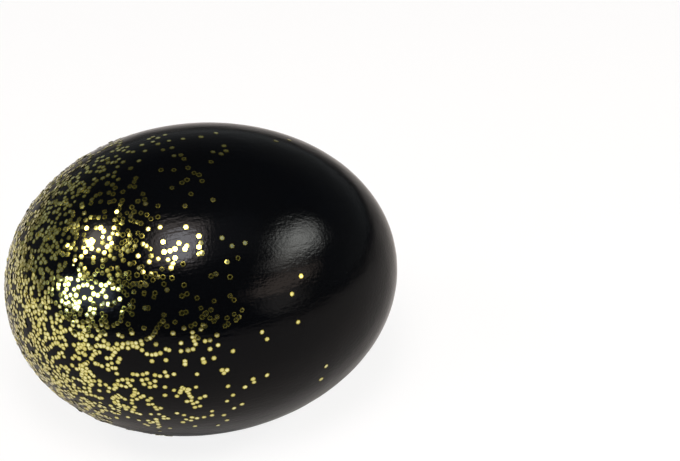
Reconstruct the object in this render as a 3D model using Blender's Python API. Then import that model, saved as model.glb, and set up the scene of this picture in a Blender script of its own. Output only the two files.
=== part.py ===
"""A black lacquered hen's egg, lying on its side on a small flat spot.

Units are metres and +Z is up. The egg's long axis runs along X, with the blunt
end at -X. The middle of its bounding box stands over the origin, and it rests
on the plane z = 0.
"""

import math

import bmesh
import bpy
from mathutils import Matrix, Vector

# Size of the shell
EGG_LENGTH = 0.0570
EGG_DIAMETER = 0.0450

# How far the outline leaves a plain ellipse
BLUNT_END_FULLNESS = 0.024
BOTH_ENDS_FULLNESS = 0.018

# How it lies
BLUNT_END_RAISED_DEG = 1.7
FLAT_SPOT_DEPTH = 0.00025

# How finely it is faceted
OUTLINE_STEPS = 36
TURN_STEPS = 72
MERGE_DISTANCE = 0.00001

# Finish
LACQUER_COLOUR = (0.006, 0.006, 0.007, 1.0)
LACQUER_ROUGHNESS = 0.15


def clear_scene():
    """Start from an empty scene."""
    for thing in list(bpy.data.objects):
        bpy.data.objects.remove(thing)


def lacquer_material():
    """Glossy black paint that covers the whole shell."""
    material = bpy.data.materials.new("black_lacquer")
    material.use_nodes = True
    shader = material.node_tree.nodes["Principled BSDF"]
    shader.inputs["Base Color"].default_value = LACQUER_COLOUR
    shader.inputs["Roughness"].default_value = LACQUER_ROUGHNESS
    shader.inputs["Metallic"].default_value = 0.0
    material.diffuse_color = LACQUER_COLOUR
    return material


def swell(along):
    """How much fuller than an ellipse the egg is, at -1 (pointed end) to 1 (blunt end)."""
    return 1.0 + BLUNT_END_FULLNESS * along + BOTH_ENDS_FULLNESS * along * along


def widest_half_width():
    """The largest half width of the outline, before it is brought to the egg's diameter."""
    steps = [math.pi * i / 1000 for i in range(1001)]
    return max(math.sin(turn) * swell(math.cos(turn)) for turn in steps)


def outline_points():
    """Half of the egg's outline, from the blunt pole to the pointed pole, in the XZ plane."""
    widest = widest_half_width()
    points = []
    for i in range(OUTLINE_STEPS + 1):
        turn = math.pi * i / OUTLINE_STEPS
        along = math.cos(turn)
        x = -EGG_LENGTH / 2 * along
        z = EGG_DIAMETER / 2 * math.sin(turn) * swell(along) / widest
        points.append(Vector((x, 0.0, z)))
    return points


def turned_egg():
    """The whole egg as a closed turned form, its long axis on X."""
    mesh = bmesh.new()
    verts = [mesh.verts.new(point) for point in outline_points()]
    edges = [mesh.edges.new(pair) for pair in zip(verts, verts[1:])]
    bmesh.ops.spin(
        mesh,
        geom=verts + edges,
        cent=(0, 0, 0),
        axis=(1, 0, 0),
        angle=2 * math.pi,
        steps=TURN_STEPS,
        use_merge=True,
    )
    bmesh.ops.remove_doubles(mesh, verts=mesh.verts, dist=MERGE_DISTANCE)
    return mesh


def lay_down(mesh):
    """Raise the blunt end a little, as the egg's balance does, and sink it to its resting depth."""
    raised = Matrix.Rotation(math.radians(BLUNT_END_RAISED_DEG), 3, "Y")
    bmesh.ops.rotate(mesh, verts=mesh.verts, cent=(0, 0, 0), matrix=raised)
    xs = [v.co.x for v in mesh.verts]
    lowest = min(v.co.z for v in mesh.verts)
    shift = Vector((-(min(xs) + max(xs)) / 2, 0.0, -lowest - FLAT_SPOT_DEPTH))
    bmesh.ops.translate(mesh, verts=mesh.verts, vec=shift)


def cut_flat_spot(mesh):
    """Take off what lies under z = 0 and close the egg with one flat face."""
    everything = mesh.verts[:] + mesh.edges[:] + mesh.faces[:]
    cut = bmesh.ops.bisect_plane(
        mesh,
        geom=everything,
        plane_co=(0, 0, 0),
        plane_no=(0, 0, 1),
        clear_inner=True,
    )
    rim = [e for e in cut["geom_cut"] if isinstance(e, bmesh.types.BMEdge)]
    bmesh.ops.holes_fill(mesh, edges=rim, sides=0)
    bmesh.ops.remove_doubles(mesh, verts=mesh.verts, dist=MERGE_DISTANCE)


def make_egg():
    """The egg, one closed solid."""
    mesh = turned_egg()
    lay_down(mesh)
    cut_flat_spot(mesh)
    bmesh.ops.recalc_face_normals(mesh, faces=mesh.faces)
    data = bpy.data.meshes.new("egg")
    mesh.to_mesh(data)
    mesh.free()
    data.shade_smooth()
    data.set_sharp_from_angle(angle=math.radians(30))
    data.materials.append(lacquer_material())
    egg = bpy.data.objects.new("egg", data)
    bpy.context.scene.collection.objects.link(egg)
    return egg


clear_scene()
make_egg()
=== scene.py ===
import math
import random

import bmesh
import bpy
import numpy as np
from mathutils import Matrix, Vector, noise
from mathutils.bvhtree import BVHTree


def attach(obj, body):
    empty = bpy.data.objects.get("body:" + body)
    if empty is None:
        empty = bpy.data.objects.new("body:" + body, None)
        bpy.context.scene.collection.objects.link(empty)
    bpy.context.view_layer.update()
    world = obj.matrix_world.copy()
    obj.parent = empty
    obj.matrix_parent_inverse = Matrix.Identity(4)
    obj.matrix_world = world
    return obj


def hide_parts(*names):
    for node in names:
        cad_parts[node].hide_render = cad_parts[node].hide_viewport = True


# A hen's egg, hand painted with black gloss lacquer, its blunt end strewn with gold glitter.
# Everything is in metres, +Z is up, and the blunt end points to -X.

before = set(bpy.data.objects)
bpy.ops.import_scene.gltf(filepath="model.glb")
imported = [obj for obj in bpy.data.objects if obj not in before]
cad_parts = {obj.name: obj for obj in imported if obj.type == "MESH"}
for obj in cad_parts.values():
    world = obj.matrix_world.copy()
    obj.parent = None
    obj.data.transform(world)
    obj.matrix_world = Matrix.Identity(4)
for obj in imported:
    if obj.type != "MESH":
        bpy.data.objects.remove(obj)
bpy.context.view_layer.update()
mm = 0.001


def hexToLinear(code):
    channels = [int(code[i:i + 2], 16) / 255 for i in (1, 3, 5)]
    linear = [c / 12.92 if c <= 0.04045 else ((c + 0.055) / 1.055) ** 2.4 for c in channels]
    return (*linear, 1.0)


def addNode(tree, kind, values=None, links=None, **settings):
    node = tree.nodes.new(kind)
    for name, value in settings.items():
        setattr(node, name, value)
    for name, value in (values or {}).items():
        node.inputs[name].default_value = value
    for name, socket in (links or {}).items():
        tree.links.new(socket, node.inputs[name])
    return node


def addPiece(name, mesh, material):
    data = bpy.data.meshes.new(name)
    mesh.to_mesh(data)
    mesh.free()
    data.materials.append(material)
    piece = bpy.data.objects.new(name, data)
    bpy.context.scene.collection.objects.link(piece)
    return piece


def emptyMaterial(name):
    material = bpy.data.materials.new(name)
    material.use_nodes = True
    tree = material.node_tree
    return material, tree, tree.nodes["Principled BSDF"]


# Camera: a long lens that looks down on the egg, from the photograph's frame of 680 x 461 pixels
view = {
    "frameWidth": 680,
    "frameHeight": 461,
    "focalPixels": 3282,  # focal length in pixels of that frame
    "sensorWidth": 36.0,  # mm
    "place": Vector((-73.4, -371.0, 308.25)) * mm,
    "pitchDownDeg": 36.3,
    "headingDeg": -14.2,
    "nearest": 10 * mm,
    "farthest": 20.0,
}


def makeCamera():
    data = bpy.data.cameras.new("camera")
    data.sensor_width = view["sensorWidth"]
    data.lens = view["sensorWidth"] * view["focalPixels"] / view["frameWidth"]
    data.clip_start = view["nearest"]
    data.clip_end = view["farthest"]
    camera = bpy.data.objects.new("camera", data)
    camera.location = view["place"]
    pitch = math.radians(90 - view["pitchDownDeg"])
    camera.rotation_euler = (pitch, 0, math.radians(view["headingDeg"]))
    bpy.context.scene.collection.objects.link(camera)
    bpy.context.scene.camera = camera
    bpy.context.view_layer.update()
    return camera


def pixelRay(camera, x, y):
    # direction from the camera through a pixel of the photograph's frame
    across = (x - view["frameWidth"] / 2) / view["focalPixels"]
    down = (y - view["frameHeight"] / 2) / view["focalPixels"]
    turned = camera.matrix_world.to_3x3()
    return (turned @ Vector((across, -down, -1))).normalized()


# Studio: one softbox over the front, a round lamp at each side, a window low on the left and dim light
# from the front and from above. Each lamp has a shape, a place in mm, its size across in mm, its turn
# about its own axis in degrees, a tint, its brightness seen from the egg, the share of its half width over
# which it fades out, and how steeply it fades
studio = {
    "softboxCore": ("SQUARE", (-50, -200, 406), (116, 178), 0, "#F1F4FF", 16.5, 0.22, 1.0),
    "softboxEdge": ("SQUARE", (-63, -181, 418), (240, 326), 0, "#FFF0E8", 6.4, 0.42, 1.0),
    "leftLamp": ("DISK", (-208, 3, 245), (115, 115), 0, "#FFF4EA", 15.0, 0.45, 1.0),
    "leftHaze": ("DISK", (-220, -8, 250), (284, 190), -6, "#FFF9E2", 1.05, 0.60, 1.0),
    "lowWindow": ("SQUARE", (-284, -115, 118), (256, 116), 15, "#DDEBFF", 7.0, 0.35, 1.0),
    "rightLamp": ("DISK", (170, -80, 164), (190, 124), -8, "#FDFFFA", 22.5, 1.0, 1.5),
    "rightLampFoot": ("DISK", (200, -181, 196), (190, 92), 0, "#FFFAF2", 4.8, 0.8, 1.0),
    "frontStreak": ("DISK", (213, -253, 144), (330, 104), 0, "#FFE9DA", 3.9, 0.75, 1.0),
    "frontHaze": ("DISK", (300, -425, 96), (320, 190), 0, "#FFF6F0", 1.5, 0.8, 1.0),
    "overheadGlow": ("SQUARE", (40, -215, 470), (600, 380), 0, "#E2EAFF", 0.30, 0.6, 1.0),
}
room = {
    "aimPoint": Vector((0, 0, 22)) * mm,  # where all lamps point
    "lampWatts": 4,         # for each square metre of a lamp whose brightness is 1
    "floorSize": 6.0,
    "floorColour": "#C3BFBB",
    "floorRoughness": 0.7,
    "floorGloss": 0.2,
    "tableGlow": 0.80,      # how much of what the camera sees is its own even white, as on a light table
    "tableWhite": 1.06,
}
# The studio's air: a pale backdrop that glows near the horizon, brighter behind the egg than in front
air = {
    "backdropColour": "#EDF2F3",
    # the height of a direction, 0 at the horizon and 1 overhead, and how bright the air is there
    "levels": [(0.0, 0.40), (0.17, 0.26), (0.34, 0.17), (0.48, 0.12), (0.58, 0.050), (0.68, 0.020),
               (0.82, 0.012)],
    "dimFrom": -0.1,        # the air dims from here, as a cosine from the camera's side of the room
    "dimTo": 0.7,
    "dimmest": 0.05,
    "seenWhite": 0.94,      # what the camera sees of it
}


def fadeOut(data, shape, share, steepness):
    # the lamp is bright in its middle and fades out towards its rim
    data.use_nodes = True
    tree = data.node_tree
    place = addNode(tree, "ShaderNodeNewGeometry")
    centred = addNode(tree, "ShaderNodeVectorMath", {1: (2, 2, 0), 2: (-1, -1, 0)},
                      {0: place.outputs["Parametric"]}, operation="MULTIPLY_ADD")
    if shape == "DISK":
        reach = addNode(tree, "ShaderNodeVectorMath", links={0: centred.outputs["Vector"]},
                        operation="LENGTH")
        reachSocket = reach.outputs["Value"]
    else:
        # the fourth root of x to the fourth plus y to the fourth: a rectangle with round corners
        squares = addNode(tree, "ShaderNodeVectorMath",
                          links={0: centred.outputs["Vector"], 1: centred.outputs["Vector"]},
                          operation="MULTIPLY")
        fourths = addNode(tree, "ShaderNodeVectorMath",
                          links={0: squares.outputs["Vector"], 1: squares.outputs["Vector"]},
                          operation="DOT_PRODUCT")
        reach = addNode(tree, "ShaderNodeMath", {1: 0.25}, {0: fourths.outputs["Value"]}, operation="POWER")
        reachSocket = reach.outputs[0]
    fade = addNode(tree, "ShaderNodeMapRange",
                   {"From Min": 1 - share, "From Max": 1.0, "To Min": 1.0, "To Max": 0.0},
                   {"Value": reachSocket}, interpolation_type="SMOOTHSTEP")
    steep = addNode(tree, "ShaderNodeMath", {1: steepness}, {0: fade.outputs["Result"]}, operation="POWER")
    tree.links.new(steep.outputs[0], tree.nodes["Emission"].inputs["Strength"])


def makeLamp(name, shape, place, size, turnDeg, tint, brightness, fadeShare, steepness):
    data = bpy.data.lights.new(name, "AREA")
    data.shape = {"SQUARE": "RECTANGLE", "DISK": "ELLIPSE"}[shape]
    data.size = size[0] * mm
    data.size_y = size[1] * mm
    roundness = math.pi / 4 if shape == "DISK" else 1
    area = size[0] * size[1] * mm * mm * roundness
    data.energy = room["lampWatts"] * area * brightness
    data.color = hexToLinear(tint)[:3]
    fadeOut(data, shape, fadeShare, steepness)
    lamp = bpy.data.objects.new(name, data)
    lamp.location = Vector(place) * mm
    aimed = (room["aimPoint"] - lamp.location).to_track_quat("-Z", "Y").to_matrix()
    lamp.rotation_euler = (aimed @ Matrix.Rotation(math.radians(turnDeg), 3, "Z")).to_euler()
    lamp.visible_camera = False
    bpy.context.scene.collection.objects.link(lamp)


def makeStudio():
    for name, lampValues in studio.items():
        makeLamp(name, *lampValues)


def makeFloor():
    mesh = bmesh.new()
    bmesh.ops.create_grid(mesh, x_segments=1, y_segments=1, size=room["floorSize"] / 2)
    material, tree, shader = emptyMaterial("pale matte tabletop")
    shader.inputs["Base Color"].default_value = hexToLinear(room["floorColour"])
    shader.inputs["Roughness"].default_value = room["floorRoughness"]
    shader.inputs["Specular IOR Level"].default_value = room["floorGloss"]
    glow = addNode(tree, "ShaderNodeEmission", {"Strength": room["tableWhite"]})
    path = addNode(tree, "ShaderNodeLightPath")
    share = addNode(tree, "ShaderNodeMath", {1: room["tableGlow"]}, {0: path.outputs["Is Camera Ray"]},
                    operation="MULTIPLY")
    mixed = addNode(tree, "ShaderNodeMixShader",
                    links={0: share.outputs[0], 1: shader.outputs["BSDF"], 2: glow.outputs["Emission"]})
    tree.links.new(mixed.outputs["Shader"], tree.nodes["Material Output"].inputs["Surface"])
    floor = addPiece("floor", mesh, material)


def makeWorld():
    world = bpy.data.worlds.new("studio air")
    bpy.context.scene.world = world
    world.use_nodes = True
    tree = world.node_tree
    background = tree.nodes["Background"]
    coords = addNode(tree, "ShaderNodeTexCoord")
    parts = addNode(tree, "ShaderNodeSeparateXYZ", links={"Vector": coords.outputs["Generated"]})
    ramp = addNode(tree, "ShaderNodeValToRGB", links={"Fac": parts.outputs["Z"]})
    elements = ramp.color_ramp.elements
    while len(elements) < len(air["levels"]):
        elements.new(0.5)
    for element, (height, level) in zip(elements, air["levels"]):
        element.position = height
        element.color = (level, level, level, 1)
    toCamera = (view["place"] - room["aimPoint"]).xy.normalized()
    facing = addNode(tree, "ShaderNodeVectorMath", {1: (toCamera.x, toCamera.y, 0)},
                     {0: coords.outputs["Generated"]}, operation="DOT_PRODUCT")
    dimming = addNode(tree, "ShaderNodeMapRange",
                      {"From Min": air["dimFrom"], "From Max": air["dimTo"],
                       "To Min": 1.0, "To Max": air["dimmest"]},
                      {"Value": facing.outputs["Value"]})
    glow = addNode(tree, "ShaderNodeMath", links={0: ramp.outputs["Color"], 1: dimming.outputs["Result"]},
                   operation="MULTIPLY")
    path = addNode(tree, "ShaderNodeLightPath")
    seen = addNode(tree, "ShaderNodeMix", {"B": air["seenWhite"]},
                   {"Factor": path.outputs["Is Camera Ray"], "A": glow.outputs[0]})
    tree.links.new(seen.outputs["Result"], background.inputs["Strength"])
    background.inputs["Color"].default_value = hexToLinear(air["backdropColour"])


camera = makeCamera()
makeStudio()
makeFloor()
makeWorld()
bpy.context.scene.view_settings.view_transform = "Standard"
print("camera, lamps, floor and air are in place")


# Black lacquer: a gloss brushing lacquer over eggshell. The eye gets a deep black mirror, with faint brush
# lines along the egg, the fine pitted skin of the shell, a few pinholes and specks of dust
lacquer = {
    "deepBlack": "#030406",
    "warmBlack": "#040404",
    "dust": "#3A3C3C",
    "roughnessGlossy": 0.07,
    "roughnessHazy": 0.17,
    "ior": 1.16,
    "skinSize": 0.42,       # mm, from bump to bump
    "skinHeight": 0.018,    # mm
    "skinGrain": 0.45,      # how strongly its finer bumps show
    "brushWidth": 0.45,     # mm
    "brushLength": 9.0,     # mm
    "brushHeight": 0.020,   # mm
    "brushWander": 0.4,     # how much the lines waver
    "pinholeSpacing": 3.2,  # mm
    "pinholeSize": 0.16,    # mm
    "pinholeDepth": 0.030,  # mm
    "pinholeFloor": 0.3,    # of its radius
    "dustSpacing": 4.3,     # mm
    "dustSize": 0.13,       # mm
    "dustSolid": 0.6,       # of its radius; past this a speck fades out
    "patchSize": 11.0,      # mm
    "patchGlossy": 0.38,    # noise value up to which a patch is glossy
    "patchHazy": 0.70,      # and from which it is hazy
}


def makeLacquer():
    material, tree, shader = emptyMaterial("black brushing lacquer")
    coords = addNode(tree, "ShaderNodeTexCoord")
    inMm = addNode(tree, "ShaderNodeMapping", {"Scale": (1 / mm, 1 / mm, 1 / mm)},
                   {"Vector": coords.outputs["Object"]})
    place = inMm.outputs["Vector"]

    # colour: nearly even black, a little warmer in patches, with specks of dust
    patches = addNode(tree, "ShaderNodeTexNoise", {"Scale": 1 / lacquer["patchSize"], "Detail": 3},
                      {"Vector": place})
    blacks = addNode(tree, "ShaderNodeMix",
                     {"A": hexToLinear(lacquer["deepBlack"]), "B": hexToLinear(lacquer["warmBlack"])},
                     {"Factor": patches.outputs["Fac"]}, data_type="RGBA")
    specks = addNode(tree, "ShaderNodeTexVoronoi", {"Scale": 1 / lacquer["dustSpacing"], "Randomness": 1.0},
                     {"Vector": place}, feature="F1")
    speckEdge = lacquer["dustSize"] / lacquer["dustSpacing"] / 2
    speckMask = addNode(tree, "ShaderNodeMapRange",
                        {"From Min": speckEdge * lacquer["dustSolid"], "From Max": speckEdge,
                         "To Min": 1.0, "To Max": 0.0},
                        {"Value": specks.outputs["Distance"]})
    colour = addNode(tree, "ShaderNodeMix", {"B": hexToLinear(lacquer["dust"])},
                     {"Factor": speckMask.outputs["Result"], "A": blacks.outputs["Result"]},
                     data_type="RGBA")
    tree.links.new(colour.outputs["Result"], shader.inputs["Base Color"])

    # gloss: mirror bright, hazier in patches
    haze = addNode(tree, "ShaderNodeMapRange",
                   {"From Min": lacquer["patchGlossy"], "From Max": lacquer["patchHazy"],
                    "To Min": lacquer["roughnessGlossy"], "To Max": lacquer["roughnessHazy"]},
                   {"Value": patches.outputs["Fac"]})
    tree.links.new(haze.outputs["Result"], shader.inputs["Roughness"])
    shader.inputs["IOR"].default_value = lacquer["ior"]

    # relief: brush lines along the egg, then the skin of the shell, then pinholes
    alongLines = 1 / lacquer["brushLength"]
    acrossLines = 1 / lacquer["brushWidth"]
    stretched = addNode(tree, "ShaderNodeMapping", {"Scale": (alongLines, acrossLines, acrossLines)},
                        {"Vector": place})
    brushing = addNode(tree, "ShaderNodeTexNoise",
                       {"Scale": 1.0, "Detail": 2, "Distortion": lacquer["brushWander"]},
                       {"Vector": stretched.outputs["Vector"]})
    brushBump = addNode(tree, "ShaderNodeBump", {"Strength": 1.0, "Distance": lacquer["brushHeight"] * mm},
                        {"Height": brushing.outputs["Fac"]})
    skin = addNode(tree, "ShaderNodeTexNoise",
                   {"Scale": 1 / lacquer["skinSize"], "Detail": 2, "Roughness": lacquer["skinGrain"]},
                   {"Vector": place})
    skinBump = addNode(tree, "ShaderNodeBump", {"Strength": 1.0, "Distance": lacquer["skinHeight"] * mm},
                       {"Height": skin.outputs["Fac"], "Normal": brushBump.outputs["Normal"]})
    pinholes = addNode(tree, "ShaderNodeTexVoronoi", {"Scale": 1 / lacquer["pinholeSpacing"]},
                       {"Vector": place}, feature="F1")
    pinEdge = lacquer["pinholeSize"] / lacquer["pinholeSpacing"] / 2
    pinDepth = addNode(tree, "ShaderNodeMapRange",
                       {"From Min": pinEdge * lacquer["pinholeFloor"], "From Max": pinEdge},
                       {"Value": pinholes.outputs["Distance"]}, interpolation_type="SMOOTHSTEP")
    pinBump = addNode(tree, "ShaderNodeBump", {"Strength": 1.0, "Distance": lacquer["pinholeDepth"] * mm},
                      {"Height": pinDepth.outputs["Result"], "Normal": skinBump.outputs["Normal"]})
    tree.links.new(pinBump.outputs["Normal"], shader.inputs["Normal"])
    return material


# The egg itself: nearly an ellipse turned about its long axis, a little fuller at the blunt end
egg = {
    "length": 57.0 * mm,
    "diameter": 45.0 * mm,
    "bluntFullness": 0.024,
    "endFullness": 0.018,
    "raisedDeg": 1.7,
    "flatDepth": 0.25 * mm,
    "fineness": 7,           # subdivisions of the round form
    "profileSteps": 1000,    # in which its widest place is looked for
    "waveSize": 2.4 * mm,    # slow waves in the hand-laid lacquer
    "waveHeight": 0.020 * mm,
}


def swell(along):
    # along runs from -1 at the pointed end to 1 at the blunt end
    return 1 + egg["bluntFullness"] * along + egg["endFullness"] * along * along


def widestHalf():
    steps = egg["profileSteps"]
    turns = [math.pi * i / steps for i in range(steps + 1)]
    return max(math.sin(turn) * swell(math.cos(turn)) for turn in turns)


widest = widestHalf()
raised = Matrix.Rotation(math.radians(egg["raisedDeg"]), 3, "Y")


def onEgg(direction):
    # the point of the egg for a direction of the unit sphere, before it is lowered onto the floor
    ring = egg["diameter"] / 2 * swell(-direction.x) / widest
    return raised @ Vector((egg["length"] / 2 * direction.x, ring * direction.y, ring * direction.z))


def loweringOf(mesh):
    xs = [v.co.x for v in mesh.verts]
    lowest = min(v.co.z for v in mesh.verts)
    return Vector((-(min(xs) + max(xs)) / 2, 0, -lowest - egg["flatDepth"]))


def makeEgg(material):
    mesh = bmesh.new()
    bmesh.ops.create_icosphere(mesh, subdivisions=egg["fineness"], radius=1.0)
    for vert in mesh.verts:
        vert.co = onEgg(vert.co.normalized())
    lowering = loweringOf(mesh)
    bmesh.ops.translate(mesh, verts=mesh.verts, vec=lowering)
    mesh.normal_update()
    for vert in mesh.verts:
        vert.co += vert.normal * noise.noise(vert.co / egg["waveSize"]) * egg["waveHeight"]
    cut = bmesh.ops.bisect_plane(mesh, geom=mesh.verts[:] + mesh.edges[:] + mesh.faces[:],
                                 plane_co=(0, 0, 0), plane_no=(0, 0, 1), clear_inner=True)
    rim = [part for part in cut["geom_cut"] if isinstance(part, bmesh.types.BMEdge)]
    bmesh.ops.holes_fill(mesh, edges=rim, sides=0)
    bmesh.ops.recalc_face_normals(mesh, faces=mesh.faces)
    seat = BVHTree.FromBMesh(mesh)
    piece = addPiece("lacquered_egg", mesh, material)
    piece.data.shade_smooth()
    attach(piece, "root")
    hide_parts("egg")
    return seat, lowering


eggSeat, eggLowering = makeEgg(makeLacquer())
print("the egg is turned, lacquered and laid down")


# Glitter: hexagons cut from metallised film. The eye gets small mirrors of pale gold, each tipped its own
# way, inside its cut edge, which is duller and shows as a thin ring of light when the mirror is dark
film = {
    "paleGold": "#DEDDA7",
    "deepGold": "#C7C27A",
    "edgeGold": "#9F9848",
    "clearest": 0.045,      # roughness of the clearest flakes
    "dullest": 0.22,
    "dullPower": 4,         # the larger, the fewer flakes are dull
    "edgeRoughness": 0.18,
    "edgeMetal": 0.93,      # how much of the cut edge is still metal
    "creaseSize": 0.16 * mm,
    "creaseHeight": 0.0006 * mm,
}
flake = {
    "across": 0.75 * mm,        # corner to corner
    "wall": 0.014 * mm,
    "flatShare": 0.63,          # of the width, flat in the middle
    "flatRise": 0.006 * mm,
    "sizeSpread": 0.05,
    "crumbShare": 0.02,         # of the flakes, those that are broken
    "crumbSmallest": 0.45,      # of a flake's width
    "crumbLargest": 0.7,
    "tipDeg": 1.9,              # a flake that lies free
    "clumpTipDeg": 2.6,         # how far neighbours tip together
    "clumpSize": 1.7 * mm,
    "touchLeanDeg": 2.2,        # a flake whose edge rests on its neighbour
    "stackLeanDeg": 6.5,        # a flake that lies across its neighbour
    "leanSpread": 0.5,
    "highest": 0.05 * mm,       # how high a flake may be lifted by its neighbour
    "sharpDeg": 28,             # edges steeper than this stay sharp
}


def makeFilm():
    material, tree, shader = emptyMaterial("gold metallised film")
    tone = addNode(tree, "ShaderNodeAttribute", attribute_name="flakeTone")
    dull = addNode(tree, "ShaderNodeAttribute", attribute_name="flakeDullness")
    edge = addNode(tree, "ShaderNodeAttribute", attribute_name="cutEdge")
    gold = addNode(tree, "ShaderNodeMix",
                   {"A": hexToLinear(film["deepGold"]), "B": hexToLinear(film["paleGold"])},
                   {"Factor": tone.outputs["Fac"]}, data_type="RGBA")
    colour = addNode(tree, "ShaderNodeMix", {"B": hexToLinear(film["edgeGold"])},
                     {"Factor": edge.outputs["Fac"], "A": gold.outputs["Result"]}, data_type="RGBA")
    tree.links.new(colour.outputs["Result"], shader.inputs["Base Color"])
    metal = addNode(tree, "ShaderNodeMapRange", {"To Min": 1.0, "To Max": film["edgeMetal"]},
                    {"Value": edge.outputs["Fac"]})
    tree.links.new(metal.outputs["Result"], shader.inputs["Metallic"])
    rough = addNode(tree, "ShaderNodeMix", {"B": film["edgeRoughness"]},
                    {"Factor": edge.outputs["Fac"], "A": dull.outputs["Fac"]})
    tree.links.new(rough.outputs["Result"], shader.inputs["Roughness"])
    coords = addNode(tree, "ShaderNodeTexCoord")
    creases = addNode(tree, "ShaderNodeTexNoise", {"Scale": 1 / film["creaseSize"], "Detail": 1},
                      {"Vector": coords.outputs["Object"]})
    bump = addNode(tree, "ShaderNodeBump", {"Strength": 1.0, "Distance": film["creaseHeight"]},
                   {"Height": creases.outputs["Fac"]})
    tree.links.new(bump.outputs["Normal"], shader.inputs["Normal"])
    return material


def flakePattern():
    # one hexagonal flake about the origin: a low wall, a slightly sloping cut edge and a flat top
    mesh = bmesh.new()
    bmesh.ops.create_circle(mesh, cap_ends=True, segments=6, radius=flake["across"] / 2)
    top = bmesh.ops.extrude_face_region(mesh, geom=mesh.faces[:])["geom"]
    topFace = [part for part in top if isinstance(part, bmesh.types.BMFace)]
    bmesh.ops.translate(mesh, verts=topFace[0].verts[:], vec=(0, 0, flake["wall"]))
    bmesh.ops.recalc_face_normals(mesh, faces=mesh.faces)
    edgeWidth = flake["across"] / 2 * math.cos(math.pi / 6) * (1 - flake["flatShare"])
    bmesh.ops.inset_region(mesh, faces=topFace, thickness=edgeWidth, depth=flake["flatRise"])
    bmesh.ops.recalc_face_normals(mesh, faces=mesh.faces)
    mesh.verts.index_update()
    corners = np.array([v.co for v in mesh.verts])
    faces = [[v.index for v in face.verts] for face in mesh.faces]
    isEdge = [0.0 if face is topFace[0] else 1.0 for face in mesh.faces]
    mesh.free()
    return corners, faces, isEdge


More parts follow.
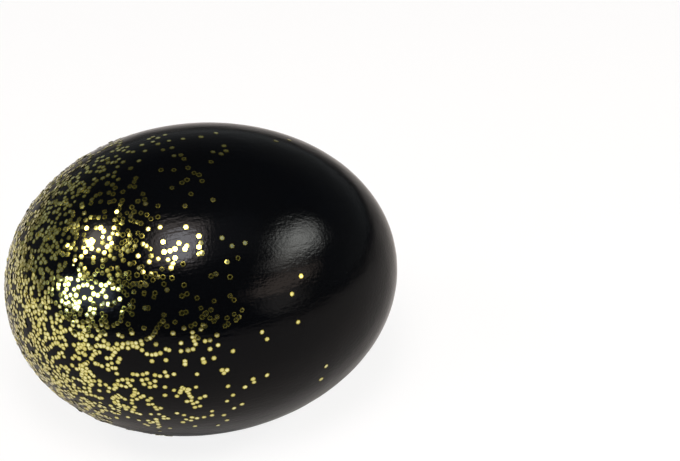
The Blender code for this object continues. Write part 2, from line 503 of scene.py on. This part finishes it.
# Flakes that stand out, each by the pixel of the photograph's frame where it is seen
seenFlakes = {
    "right side": [(301, 276), (298, 322), (262, 332), (267, 339), (267, 375), (326, 366), (321, 379),
                   (292, 294), (233, 351), (253, 379), (254, 382), (245, 387), (228, 386), (233, 395),
                   (227, 401), (242, 404), (234, 408), (236, 320), (239, 317), (222, 370), (227, 370),
                   (224, 373), (224, 415), (227, 420), (218, 425), (212, 411), (212, 415), (204, 417),
                   (197, 418), (192, 417), (195, 426), (183, 422)],
    "under the softbox's reflection": [
        (160, 227), (186, 227), (148, 229), (199, 236), (222, 238), (163, 242), (179, 243), (245, 243),
        (201, 243), (187, 246), (185, 249), (232, 246), (199, 247), (175, 249), (170, 251), (164, 252),
        (202, 253), (199, 254), (238, 258), (175, 258), (158, 259), (168, 260), (227, 262), (183, 264),
        (173, 264), (171, 268), (162, 269), (143, 244), (146, 246), (158, 217), (216, 274), (211, 276),
        (230, 277), (172, 278)],
    "dark band": [
        (184, 285), (182, 296), (187, 294), (197, 298), (214, 301), (234, 300), (230, 296), (155, 274),
        (158, 277), (163, 277), (164, 284), (167, 290), (155, 293), (154, 297), (144, 293), (144, 283),
        (146, 277), (201, 308), (211, 310), (202, 317), (206, 313), (210, 318), (217, 317), (214, 321),
        (227, 318), (242, 310), (234, 314), (182, 313), (164, 315), (163, 321), (160, 324), (175, 322),
        (144, 328), (203, 325), (205, 326), (201, 329), (225, 326), (228, 324), (195, 324)],
    "top side": [
        (216, 133), (201, 137), (183, 139), (224, 146), (226, 151), (213, 152), (221, 154), (211, 162),
        (172, 148), (163, 150), (174, 156), (181, 155), (184, 159), (169, 141), (165, 135), (158, 138),
        (153, 137), (149, 139), (153, 142), (158, 144), (142, 145), (145, 151), (133, 152), (139, 161),
        (276, 141), (289, 140), (161, 170), (174, 170), (188, 168), (194, 173), (199, 175), (187, 180),
        (182, 183), (202, 181), (172, 188), (191, 194), (213, 200), (143, 194), (185, 206), (158, 206)],
    "front": [
        (191, 326), (181, 343), (181, 351), (188, 350), (193, 349), (205, 341), (210, 340), (217, 335),
        (218, 345), (210, 349), (214, 358), (203, 359), (204, 362), (185, 361), (185, 364), (167, 326),
        (173, 333), (184, 328), (145, 308), (148, 308), (156, 344), (166, 349), (169, 350), (152, 361),
        (166, 360), (155, 375), (160, 376), (165, 372), (167, 376), (174, 374), (197, 374), (165, 387),
        (165, 395), (174, 390), (196, 387), (177, 396), (205, 396), (200, 398), (197, 402), (200, 406),
        (195, 407), (150, 383), (144, 384), (150, 387), (155, 381), (155, 386), (177, 413), (184, 415),
        (151, 414), (159, 414)],
    "long string": [
        (157, 328), (155, 332), (153, 335), (147, 339), (150, 338), (141, 341), (142, 344), (136, 343),
        (132, 343), (133, 346), (137, 347), (128, 343), (123, 344), (122, 347), (128, 348), (117, 344),
        (118, 349), (114, 348), (115, 352), (111, 358), (107, 358), (113, 355), (98, 345), (104, 341),
        (101, 346), (104, 346), (108, 348), (142, 350), (147, 354), (98, 364), (102, 366), (108, 365),
        (87, 315), (80, 314), (75, 317), (70, 314), (66, 317), (61, 313), (77, 321), (83, 322),
        (88, 321), (90, 326), (96, 326), (98, 330), (101, 333), (83, 327), (79, 326), (73, 325)],
    "under the bulge": [
        (119, 412), (128, 417), (139, 420), (137, 413), (140, 414), (145, 424), (148, 425), (170, 428),
        (160, 431), (121, 397), (125, 399), (132, 400), (132, 403), (137, 399), (126, 409), (133, 410),
        (148, 400), (151, 398), (147, 379), (142, 380)],
    "left of the softbox's reflection": [
        (123, 219), (122, 223), (117, 223), (127, 213), (131, 216), (134, 212), (141, 213), (147, 215),
        (151, 219), (128, 231), (130, 235), (130, 239), (130, 243), (123, 235), (138, 233), (142, 236),
        (136, 241), (135, 246), (132, 250), (150, 249), (125, 241), (122, 243), (127, 246), (124, 249),
        (121, 251), (128, 251), (138, 256), (130, 264), (134, 263), (121, 255), (151, 256), (149, 262),
        (142, 267), (118, 229), (118, 234)],
    "dark band, left": [
        (129, 273), (129, 278), (123, 276), (119, 272), (118, 275), (130, 286), (122, 286), (124, 292),
        (120, 299), (119, 281), (144, 294), (141, 283), (146, 285), (153, 280), (151, 274), (127, 295),
        (139, 268), (143, 272), (137, 275), (137, 284), (133, 284), (140, 286), (134, 292), (133, 301),
        (130, 305), (133, 307), (129, 310), (132, 314), (128, 324), (131, 330), (132, 333), (205, 314),
        (186, 312)],
}
# Strings of touching flakes, each by the pixels it passes through
seenStrings = [
    [(161, 353), (152, 354)],
    [(192, 333), (195, 344)],
    [(180, 392), (184, 389), (189, 392), (192, 400), (187, 401)],
    [(182, 388), (188, 389)],
    [(118, 380), (133, 380), (133, 375), (142, 375)],
    [(114, 389), (118, 385), (130, 386), (135, 389)],
    [(133, 396), (138, 393), (141, 397)],
    [(149, 405), (160, 408)],
    [(120, 406), (128, 407)],
    [(131, 411), (136, 407)],
    [(118, 395), (118, 400)],
    [(164, 416), (167, 418)],
    [(186, 419), (191, 420)],
    [(149, 421), (154, 422)],
    [(157, 419), (159, 426)],
]
# Bare patches among the dense flakes: pixel in the middle of each, and its radius in mm
barePatches = [
    (120, 351, 1.0), (106, 351, 0.8), (135, 343, 1.0), (151, 334, 1.0), (137, 357, 1.8), (108, 377, 1.3),
    (71, 338, 0.9), (99, 359, 0.8), (122, 392, 0.9), (125, 297, 0.8), (72, 350, 0.7), (90, 340, 0.7),
    (105, 395, 0.6), (57, 347, 0.6), (43, 356, 0.6), (50, 366, 0.5), (72, 374, 0.7), (95, 400, 0.8),
    (140, 330, 0.9), (97, 328, 0.5), (94, 369, 0.8), (104, 372, 0.8), (110, 414, 1.0), (122, 420, 0.6),
    (97, 385, 0.5), (60, 341, 0.5),
]
strewing = {
    "seed": 11,
    "clumpSeed": 2,             # of the tips that neighbours share
    "tries": 150000,
    # where the glitter lies; reaches are parts of the egg's length, from its middle to the blunt end
    "fullShare": 0.46,          # of the surface, covered at the blunt end
    "halfWay": 0.315,           # where the share is halved
    "fadeWidth": 0.072,
    "driftSize": 9 * mm,        # the glitter's edge wanders in waves of this size
    "driftReach": 0.03,
    "topLine": -5 * mm,         # y of a line along the top, where the glitter reaches less far
    "topLineWidth": 10 * mm,    # to each side of it
    "topShortfall": 0.08,
    "strayFrom": 0.05,          # from here to the pointed end there are only strays
    "strayShare": 0.0008,
    "lowest": 0.5 * mm,         # over the floor
    # how it lies in winding runs, and how close the flakes are, in widths of a flake
    "runSize": 1.7 * mm,
    "runWidth": 0.37,           # these two give runs that take the wanted part of the surface
    "runSwell": 0.11,
    "runFilled": 0.68,          # share of a run that is covered when no more fit
    "betweenShare": 0.12,       # flakes between the runs
    "touching": 0.95,           # closer than this one rests on the other
    "apart": 0.80,              # most are no closer than this
    "closest": 0.45,
    "stackShare": 0.20,         # of those between apart and closest, how many stay
    "cellSize": 0.80 * mm,      # in which neighbours are looked for
    # the strings, in widths of a flake
    "stringStep": 0.88,         # from flake to flake
    "stringSway": 0.13,         # to each side
    "twinShare": 0.30,          # of the flakes of a string, those with a second one beside them
    "twinNearest": 0.6,
    "twinFarthest": 0.95,
    # towards the pointed end from these reaches the seen flakes stand alone
    "topAbove": 18.5 * mm,      # over the egg's axis
    "seenReachTop": 0.17,
    "seenReachMiddle": 0.245,
    "lowBelow": 4 * mm,
    "seenReachLow": 0.275,
}


def alongEgg(point):
    # 0.5 at the blunt end and -0.5 at the pointed end
    return -(raised.inverted() @ (point - eggLowering)).x / egg["length"]


def onTop(point):
    # 1 along a line a little in front of the top of the egg, falling to 0 at each side and below
    if point.z <= eggLowering.z:
        return 0.0
    return max(0.0, 1 - abs((point.y - strewing["topLine"]) / strewing["topLineWidth"]))


def glitterShare(point):
    # how much of the surface the glitter covers there: most at the blunt end, and less on top
    drift = strewing["driftReach"] * noise.noise(point / strewing["driftSize"])
    reach = alongEgg(point) + drift - strewing["topShortfall"] * onTop(point)
    return strewing["fullShare"] / (1 + math.exp((strewing["halfWay"] - reach) / strewing["fadeWidth"]))


def inRun(point, share):
    # runs follow the places where a slow noise is near zero, and are wider where the share is larger
    wanted = min(1, share / strewing["runFilled"])
    width = strewing["runWidth"] * wanted + strewing["runSwell"] * wanted ** 3
    return abs(noise.noise(point / strewing["runSize"])) < width


class Strewn:
    # the flakes laid so far, found again by the cell they lie in
    def __init__(self):
        self.flakes = []
        self.cells = {}

    def cellOf(self, point):
        return tuple(int(math.floor(c / strewing["cellSize"])) for c in point)

    def near(self, point):
        x, y, z = self.cellOf(point)
        return [spot for dx in (-1, 0, 1) for dy in (-1, 0, 1) for dz in (-1, 0, 1)
                for spot in self.cells.get((x + dx, y + dy, z + dz), ())]

    def lay(self, place, normal, tip, lift=0.0, crumb=False):
        spot = {"place": place, "normal": normal, "tip": tip, "lift": lift, "crumb": crumb}
        self.flakes.append(spot)
        self.cells.setdefault(self.cellOf(place), []).append(spot)


def tipOf(place, chance):
    # neighbours tip together a little, and each flake a little on its own
    together = noise.noise_vector(place / flake["clumpSize"]) * math.radians(flake["clumpTipDeg"])
    alone = Vector([chance.gauss(0, math.radians(flake["tipDeg"])) for axis in range(3)])
    return together + alone


def underPixel(x, y):
    return eggSeat.ray_cast(view["place"], pixelRay(camera, x, y))[:2]


def layOnString(strewn, chance, point, layer):
    sway = flake["across"] * strewing["stringSway"]
    place, normal = eggSeat.find_nearest(point + Vector([chance.gauss(0, sway) for axis in range(3)]))[:2]
    strewn.lay(place, normal, tipOf(place, chance), layer * flake["wall"])
    if chance.random() < strewing["twinShare"]:
        away = normal.cross(Vector([chance.gauss(0, 1) for axis in range(3)])).normalized()
        gap = chance.uniform(strewing["twinNearest"], strewing["twinFarthest"])
        beside = place + away * flake["across"] * gap
        twinPlace, twinNormal = eggSeat.find_nearest(beside)[:2]
        lean = away * math.radians(flake["touchLeanDeg"])
        strewn.lay(twinPlace, twinNormal, tipOf(twinPlace, chance) + lean, 2 * flake["wall"])


def laySeen(strewn, chance):
    for x, y in [pixel for group in seenFlakes.values() for pixel in group]:
        place, normal = underPixel(x, y)
        strewn.lay(place, normal, tipOf(place, chance))
    for string in seenStrings:
        route = [underPixel(x, y)[0] for x, y in string]
        for start, end in zip(route, route[1:]):
            steps = max(1, round((end - start).length / (flake["across"] * strewing["stringStep"])))
            for step in range(steps if end is not route[-1] else steps + 1):
                layOnString(strewn, chance, start.lerp(end, step / steps), step % 2)


def seenStandAlone(place, normal):
    # where the flakes that stand out were all laid one by one from the list
    if normal.dot(view["place"] - place) < 0:
        return False
    height = place.z - eggLowering.z
    if height > strewing["topAbove"]:
        return alongEgg(place) < strewing["seenReachTop"]
    if height > strewing["lowBelow"]:
        return alongEgg(place) < strewing["seenReachMiddle"]
    return alongEgg(place) < strewing["seenReachLow"]


def strewFlakes():
    chance = random.Random(strewing["seed"])
    noise.seed_set(strewing["clumpSeed"])
    strewn = Strewn()
    laySeen(strewn, chance)
    bare = [(underPixel(x, y)[0], reach * mm) for x, y, reach in barePatches]
    size = flake["across"]
    for attempt in range(strewing["tries"]):
        direction = Vector([chance.gauss(0, 1) for axis in range(3)]).normalized()
        guess = onEgg(direction) + eggLowering
        share = glitterShare(guess)
        kept = 1 if inRun(guess, share) else strewing["betweenShare"] * share
        if chance.random() > kept:
            continue
        if alongEgg(guess) < strewing["strayFrom"] and chance.random() > strewing["strayShare"] + share:
            continue
        place, normal = eggSeat.find_nearest(guess)[:2]
        if place.z < strewing["lowest"] or any((place - middle).length < reach for middle, reach in bare):
            continue
        if seenStandAlone(place, normal):
            continue
        near = [(spot, (spot["place"] - place).length / size) for spot in strewn.near(place)]
        under, gap = min(near, key=lambda pair: pair[1], default=(None, 1))
        if gap < strewing["closest"]:
            continue
        if gap < strewing["apart"] and chance.random() > strewing["stackShare"]:
            continue
        tip = tipOf(place, chance)
        lift = 0.0
        if gap < strewing["touching"]:
            lean = flake["touchLeanDeg"] if gap >= strewing["apart"] else flake["stackLeanDeg"]
            lean *= chance.uniform(1 - flake["leanSpread"], 1 + flake["leanSpread"])
            tip += (place - under["place"]).normalized() * math.radians(lean)
            lift = min(under["lift"] + flake["wall"], flake["highest"])
        strewn.lay(place, normal, tip, lift, chance.random() < flake["crumbShare"])
    return strewn.flakes


def flakeTurn(normal, tip, spin):
    # turns a flake from the origin onto the lacquer, tipped and spun about its own axis
    up = (normal + tip).normalized()
    side = up.orthogonal().normalized()
    turn = Matrix((side, up.cross(side), up)).transposed()
    return turn @ Matrix.Rotation(spin, 3, "Z")


def makeGlitter(material):
    chance = random.Random(strewing["seed"] + 1)
    corners, faces, isEdge = flakePattern()
    points, allFaces, tones, dullness = [], [], [], []
    for spot in strewFlakes():
        turn = np.array(flakeTurn(spot["normal"], spot["tip"], chance.uniform(0, math.pi / 3)))
        size = 1 + chance.gauss(0, flake["sizeSpread"])
        if spot["crumb"]:
            size *= chance.uniform(flake["crumbSmallest"], flake["crumbLargest"])
        # a tipped flake still keeps its lower corner on the lacquer
        rise = spot["lift"] + spot["tip"].length * flake["across"] / 2
        first = len(points) * len(corners)
        place = np.array(spot["place"] + spot["normal"] * rise)
        points.append((corners * (size, size, 1)) @ turn.T + place)
        allFaces.extend([[first + corner for corner in face] for face in faces])
        tones.append(chance.random())
        dull = chance.random() ** film["dullPower"]
        dullness.append(film["clearest"] + (film["dullest"] - film["clearest"]) * dull)
    data = bpy.data.meshes.new("glitter_flakes")
    data.from_pydata(np.concatenate(points).tolist(), [], allFaces)
    tone = data.attributes.new("flakeTone", "FLOAT", "POINT")
    tone.data.foreach_set("value", np.repeat(tones, len(corners)).astype(np.float32))
    haze = data.attributes.new("flakeDullness", "FLOAT", "POINT")
    haze.data.foreach_set("value", np.repeat(dullness, len(corners)).astype(np.float32))
    cutEdge = data.attributes.new("cutEdge", "FLOAT", "FACE")
    cutEdge.data.foreach_set("value", np.tile(isEdge, len(tones)).astype(np.float32))
    data.materials.append(material)
    data.shade_smooth()
    data.set_sharp_from_angle(angle=math.radians(flake["sharpDeg"]))
    piece = bpy.data.objects.new("glitter_flakes", data)
    bpy.context.scene.collection.objects.link(piece)
    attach(piece, "root")
    print("glitter flakes laid on the lacquer:", len(tones))


makeGlitter(makeFilm())

print("the egg is finished")
